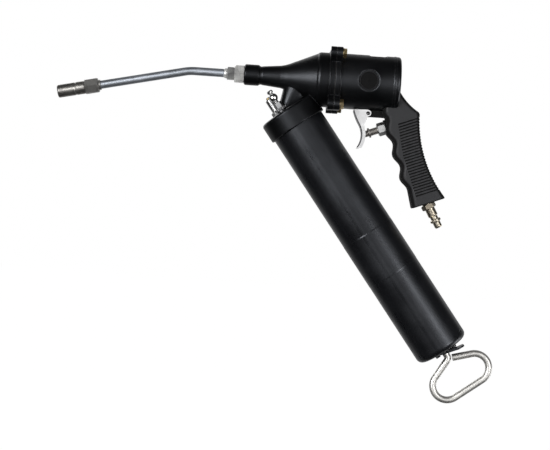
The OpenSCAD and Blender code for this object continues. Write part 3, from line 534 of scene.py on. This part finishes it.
def skin_rings(shape, rings, closed_path=False):
    """Joins rings of points, each as long as the next, into a tube, with caps where its path is open."""
    made = [[shape.verts.new(point) for point in ring] for ring in rings]
    pairs = list(zip(made, made[1:]))
    if closed_path:
        pairs.append((made[-1], made[0]))
    for near, far in pairs:
        count = len(near)
        for i in range(count):
            j = (i + 1) % count
            shape.faces.new((near[i], near[j], far[j], far[i]))
    if not closed_path:
        shape.faces.new(list(reversed(made[0])))
        shape.faces.new(made[-1])


def tube_along(shape, points, radius, sides, side_axis):
    """A round wire along points that lie in planes across a fixed side axis."""
    rings = []
    for i, point in enumerate(points):
        ahead = points[min(i + 1, len(points) - 1)] - points[max(i - 1, 0)]
        up = ahead.cross(side_axis).normalized()
        angles = [2 * math.pi * k / sides for k in range(sides)]
        rings.append([point + radius * (math.cos(a) * side_axis + math.sin(a) * up) for a in angles])
    skin_rings(shape, rings)


def lathe(shape, origin, direction, profile, sides=48):
    """Turns a closed profile of (radius, distance) points round a direction."""
    side = direction.orthogonal().normalized()
    other = direction.cross(side)
    rings = []
    for k in range(sides):
        a = 2 * math.pi * k / sides
        out = math.cos(a) * side + math.sin(a) * other
        rings.append([origin + direction * along + out * radius for radius, along in profile])
    skin_rings(shape, rings, closed_path=True)


# Small pieces that the solids leave out


def tube_olive(shape):
    """Compression ring that the tube nut squeezes on to the tube."""
    low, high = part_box("tube_nut")
    origin = Vector((low[0], 0, PUMP_AXIS_Z * MM))
    profile = [(TUBE_RADIUS - 0.1, 1.0), (5.1, 1.0), (5.1, -1.6), (4.9, -2.4), (TUBE_RADIUS + 0.1, -3.2),
               (TUBE_RADIUS - 0.1, -3.2)]
    lathe(shape, origin, PUMP_DIRECTION, [(r * MM, d * MM) for r, d in profile])


def flange_lips(shape):
    """Rounded lips cast on the outer rims of the two flange plates."""
    half, height, sunk, inset = 1.0, 0.45, 0.3, 0.1
    arc = [(math.sin(math.radians(a)), math.cos(math.radians(a))) for a in range(-90, 91, 15)]
    for x, inward in ((FLANGE_FRONT_X, 1), (FLANGE_REAR_X, -1)):
        origin = Vector((x + inward * (half - inset), 0, PUMP_AXIS_Z)) * MM
        profile = [(FLANGE_RADIUS - sunk + (height + sunk) * up, half * along) for along, up in arc]
        lathe(shape, origin, PUMP_DIRECTION, [(r * MM, d * MM) for r, d in profile], 96)


def gasket_eyes(shape):
    """Eyes of the gasket round the flange bolts, which fill the joint between the lugs."""
    half = GASKET_EYE_THICKNESS / 2
    bore, rim = BOLT_RADIUS + 0.2, LUG_RADIUS - 0.3
    profile = [(bore, -half), (rim, -half), (rim, half), (bore, half)]
    for turn in (45, 135, 225, 315):
        out = Vector((0, math.cos(math.radians(turn)), math.sin(math.radians(turn)))) * BOLT_CIRCLE
        origin = Vector(((FLANGE_FRONT_X + FLANGE_REAR_X) / 2, 0, PUMP_AXIS_Z)) + out
        lathe(shape, origin * MM, PUMP_DIRECTION, [(r * MM, d * MM) for r, d in profile])


def exhaust_screen(shape):
    """Woven wire screen over the felt in the exhaust slot."""
    wire, margin = 0.25 * MM, 0.4
    depth = MOTOR_RADIUS - 2.4
    half_angle = math.asin((SLOT_WIDTH / 2 - margin) / depth)
    columns, rows, weave = 12, 11, 0.24 * MM
    for i in range(1, columns):
        x = (SLOT_START_X + SLOT_LENGTH * i / columns) * MM
        points = []
        for k in range(2 * rows + 1):
            a = half_angle * (k / rows - 1) - SLOT_TURN
            r = depth * MM + weave * math.cos(math.pi * (k + i))
            points.append(Vector((x, r * math.sin(a), PUMP_AXIS_Z * MM + r * math.cos(a))))
        tube_along(shape, points, wire, 6, PUMP_DIRECTION)
    for k in range(1, 2 * rows, 2):
        a = half_angle * (k / rows - 1) - SLOT_TURN
        out = Vector((0, math.sin(a), math.cos(a)))
        points = []
        for i in range(columns + 1):
            x = (SLOT_START_X + margin / 2 + (SLOT_LENGTH - margin) * i / columns) * MM
            r = depth * MM - weave * math.cos(math.pi * (k + i))
            points.append(Vector((x, 0, PUMP_AXIS_Z * MM)) + out * r)
        tube_along(shape, points, wire, 6, PUMP_DIRECTION.cross(out))


def trigger_folds(shape):
    """Rounded folds where the front of the sheet trigger turns into its cheeks."""
    brow, brow_radius = (-6.9, 63.2), 56.2
    finger, finger_radius = (-73.2, 21.4), 22.25
    top_z, bend_z, step, count = 47, 31.8, 0.5, 77
    radius, sunk = 0.6, 0.35
    for side in (-1, 1):
        points = []
        for z in [top_z - step * i for i in range(count)]:
            if z > bend_z:
                x = brow[0] - math.sqrt(brow_radius ** 2 - (z - brow[1]) ** 2)
            else:
                x = finger[0] + math.sqrt(finger_radius ** 2 - (z - finger[1]) ** 2)
            points.append(Vector((x, side * (TRIGGER_HALF_WIDTH - sunk), z)) * MM)
        tube_along(shape, points, radius * MM, 10, ACROSS)


def grip_seams(shape):
    """Mould parting bead down the front and the back of the grip, laid on its surface."""
    grip_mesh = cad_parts["grip"].data
    tree = BVHTree.FromPolygons(
        [v.co.copy() for v in grip_mesh.vertices], [tuple(p.vertices) for p in grip_mesh.polygons]
    )
    reach, radius = 60 * MM, 0.28 * MM
    for facing, first, last in ((VALVE_DIRECTION, -27, 45), (-VALVE_DIRECTION, -60, 45)):
        points = []
        for h in range(first, last + 1):
            start = GRIP_DIRECTION * (h * MM) + facing * reach
            hit = tree.ray_cast(start, -facing)[0]
            if hit is not None:
                points.append(hit)
        tube_along(shape, points, radius, 6, ACROSS)


# Springs that shorten: node, body, joint, X and Z of the end that stays and of the pushed end, radius, wire, turns
# and travel, all in millimetres
SPRINGS = (
    ("coupler_spring", "gun", "seal_press", (-343.99, 50.67), (-350.52, 49.18), 4.0, 0.8, 4, 1.5),
    ("check_spring", "gun", "check_lift", (-165.11, 76.2), (-158.45, 76.2), 2.4, 0.6, 4, 1.5),
    ("return_spring", "gun", "piston_stroke", (-93.04, 76.2), (-35.36, 76.2), 16.0, 2.4, 7, 28.0),
    ("valve_spring", "gun", "valve_push", (-5.9, 39.58), (-16.04, 35.6), 3.0, 0.8, 6, 3.4),
    ("follower_spring", "barrel", "rod_slide", (44.49, -188.04), (-113.45, 22.32), 18.0, 2.6, 13, 190.0),
    ("latch_spring", "barrel", "latch_tilt", (56.55, -185.77), (59.19, -189.28), 2.6, 0.7, 4, 1.4),
)
COIL_STEPS = 20
COIL_SIDES = 10
CLOSED_TURN = 1.15


def coil(shape, start, along, length, radius, wire, turns):
    """Round wire wound round an axis, with a closed turn at each end."""
    other = along.cross(ACROSS)
    shut = CLOSED_TURN * wire
    pitch = (length - wire - 2 * shut) / (turns - 2)
    angles = [2 * math.pi * k / COIL_SIDES for k in range(COIL_SIDES)]
    rings = []
    for i in range(turns * COIL_STEPS + 1):
        turn = i / COIL_STEPS
        height = shut * min(turn, 1) + pitch * min(max(turn - 1, 0), turns - 2) + shut * max(turn - turns + 1, 0)
        out = math.cos(2 * math.pi * turn) * ACROSS + math.sin(2 * math.pi * turn) * other
        middle = start + along * (height + wire / 2) + out * radius
        rings.append([middle + wire / 2 * (math.cos(a) * out + math.sin(a) * along) for a in angles])
    skin_rings(shape, rings)


def add_spring(node, body, joint, still_end, pushed_end, radius, wire, turns, travel):
    """A spring in place of its solid, wound at full length from the end that stays to the pushed end."""
    still = Vector((still_end[0], 0, still_end[1])) * MM
    pushed = Vector((pushed_end[0], 0, pushed_end[1])) * MM
    length = (pushed - still).length
    along = (pushed - still) / length

    def wind(shape):
        coil(shape, still, along, length, radius * MM, wire * MM, turns)

    piece = add_piece(node.replace("spring", "coil"), wind, body, FINISHES[node])
    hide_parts(node)
    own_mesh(piece)


for spring in SPRINGS:
    add_spring(*spring)
add_piece("tube_olive", tube_olive, "gun", FINISHES["outlet_adapter"])
add_piece("flange_lips", flange_lips, "gun", FINISHES["pump_head"])
add_piece("gasket_eyes", gasket_eyes, "gun", FINISHES["flange_gasket"])
add_piece("exhaust_screen", exhaust_screen, "gun", FINISHES["tube_nut"])
# Painted shade: the folds take the near-black pin steel finish, a dark line standing in for the darkness that the
# edge-on front fold reflects.
add_piece("trigger_folds", trigger_folds, "trigger", FINISHES["trigger_pin"])
add_piece("grip_mould_seams", grip_seams, "gun", FINISHES["grip"])


# Stage: floor, world, lamps and camera


def seen_directly(tree):
    """One for rays from the camera and for reflections and refractions, zero for the rest."""
    path = tree.nodes.new("ShaderNodeLightPath")
    total = math_node(tree, "ADD", path.outputs["Is Camera Ray"], path.outputs["Is Glossy Ray"])
    total = math_node(tree, "ADD", total, path.outputs["Is Transmission Ray"])
    return math_node(tree, "MINIMUM", total, 1.0)


def floor():
    """Wide pale floor below the gun that shows white and keeps a soft shadow."""
    mesh = bpy.data.meshes.new("floor")
    shape = bmesh.new()
    bmesh.ops.create_grid(shape, x_segments=4, y_segments=4, size=FLOOR_HALF_WIDTH)
    shape.to_mesh(mesh)
    shape.free()
    plane = bpy.data.objects.new("floor", mesh)
    plane.location = (0, 0, FLOOR_Z)
    bpy.context.scene.collection.objects.link(plane)
    material, tree, shader = new_finish("pale_floor")
    shader.inputs["Base Color"].default_value = (FLOOR_TONE, FLOOR_TONE, FLOOR_TONE, 1.0)
    shader.inputs["Roughness"].default_value = 0.9
    glow = tree.nodes.new("ShaderNodeEmission")
    glow.inputs["Strength"].default_value = FLOOR_WHITE
    blend = tree.nodes.new("ShaderNodeMixShader")
    tree.links.new(math_node(tree, "MULTIPLY", seen_directly(tree), FLOOR_SHARE), blend.inputs["Fac"])
    tree.links.new(shader.outputs[0], blend.inputs[1])
    tree.links.new(glow.outputs[0], blend.inputs[2])
    tree.links.new(blend.outputs[0], tree.nodes["Material Output"].inputs["Surface"])
    mesh.materials.append(material)
    plane.visible_glossy = False


def mirrored_room(tree):
    """What polished surfaces mirror: a faint front on the badge side, a white backdrop and the rear window."""
    direction = tree.nodes.new("ShaderNodeTexCoord").outputs["Generated"]
    parts = tree.nodes.new("ShaderNodeSeparateXYZ")
    tree.links.new(direction, parts.inputs[0])
    total = span(tree, parts.outputs["Y"], -0.9, -0.98, WALL_GLOW, FRONT_GLOW)
    total = math_node(tree, "ADD", total, span(tree, parts.outputs["Y"], 0.35, 0.85, 0.0, BACKDROP_GLOW))
    towards = vector_math(tree, "DOT_PRODUCT", direction, REAR_WINDOW)
    return math_node(tree, "ADD", total, span(tree, towards, REAR_WINDOW_EDGE, REAR_WINDOW_FULL, 0.0, REAR_GLOW))


def studio_world():
    """Soft grey room light, white where it is seen."""
    world = bpy.data.worlds.new("studio")
    world.use_nodes = True
    tree = world.node_tree
    background = tree.nodes["Background"]
    background.inputs["Color"].default_value = (1, 1, 1, 1)
    path = tree.nodes.new("ShaderNodeLightPath")
    clear = math_node(tree, "MAXIMUM", path.outputs["Is Camera Ray"], path.outputs["Is Transmission Ray"])
    mirrored = math_node(tree, "MULTIPLY", path.outputs["Is Glossy Ray"], mirrored_room(tree))
    rest = math_node(tree, "SUBTRACT", 1.0, math_node(tree, "MAXIMUM", clear, path.outputs["Is Glossy Ray"]))
    strength = math_node(tree, "ADD", clear, math_node(tree, "MULTIPLY", rest, ROOM_GLOW))
    tree.links.new(math_node(tree, "ADD", strength, mirrored), background.inputs["Strength"])
    bpy.context.scene.world = world


def area_lamp(name, place, size, power):
    """An area lamp aimed at the middle of the picture."""
    light = bpy.data.lights.new(name, "AREA")
    light.size = size
    light.energy = power
    lamp = bpy.data.objects.new(name, light)
    lamp.location = place
    lamp.rotation_euler = (LOOK_AT - place).to_track_quat("-Z", "Y").to_euler()
    bpy.context.scene.collection.objects.link(lamp)
    return lamp


def soft_lamp(name, place, size, power):
    """A square lamp that polished surfaces don't mirror."""
    lamp = area_lamp(name, Vector(place), size, power)
    lamp.visible_glossy = False


def window_lamp(name, direction, power):
    """A bright round window that only shows in polished surfaces."""
    lamp = area_lamp(name, LOOK_AT + direction.normalized() * WINDOW_DISTANCE, WINDOW_WIDTH, power)
    lamp.data.shape = "DISK"
    lamp.visible_diffuse = False
    lamp.visible_camera = False


def photo_camera():
    """Level camera at the side of the gun, rolled as in the photograph."""
    data = bpy.data.cameras.new("camera")
    data.sensor_width = SENSOR_WIDTH
    data.lens = SENSOR_WIDTH * CAMERA_DISTANCE / SEEN_WIDTH
    camera = bpy.data.objects.new("camera", data)
    camera.location = LOOK_AT - ACROSS * CAMERA_DISTANCE
    turn = Matrix.Rotation(math.pi / 2, 3, "X") @ Matrix.Rotation(CAMERA_ROLL, 3, "Z")
    camera.rotation_euler = turn.to_euler()
    bpy.context.scene.collection.objects.link(camera)
    bpy.context.scene.camera = camera


floor()
studio_world()
for soft in SOFT_LAMPS:
    soft_lamp(*soft)
for window in WINDOWS:
    window_lamp(*window)
photo_camera()
bpy.context.scene.view_settings.view_transform = "Standard"
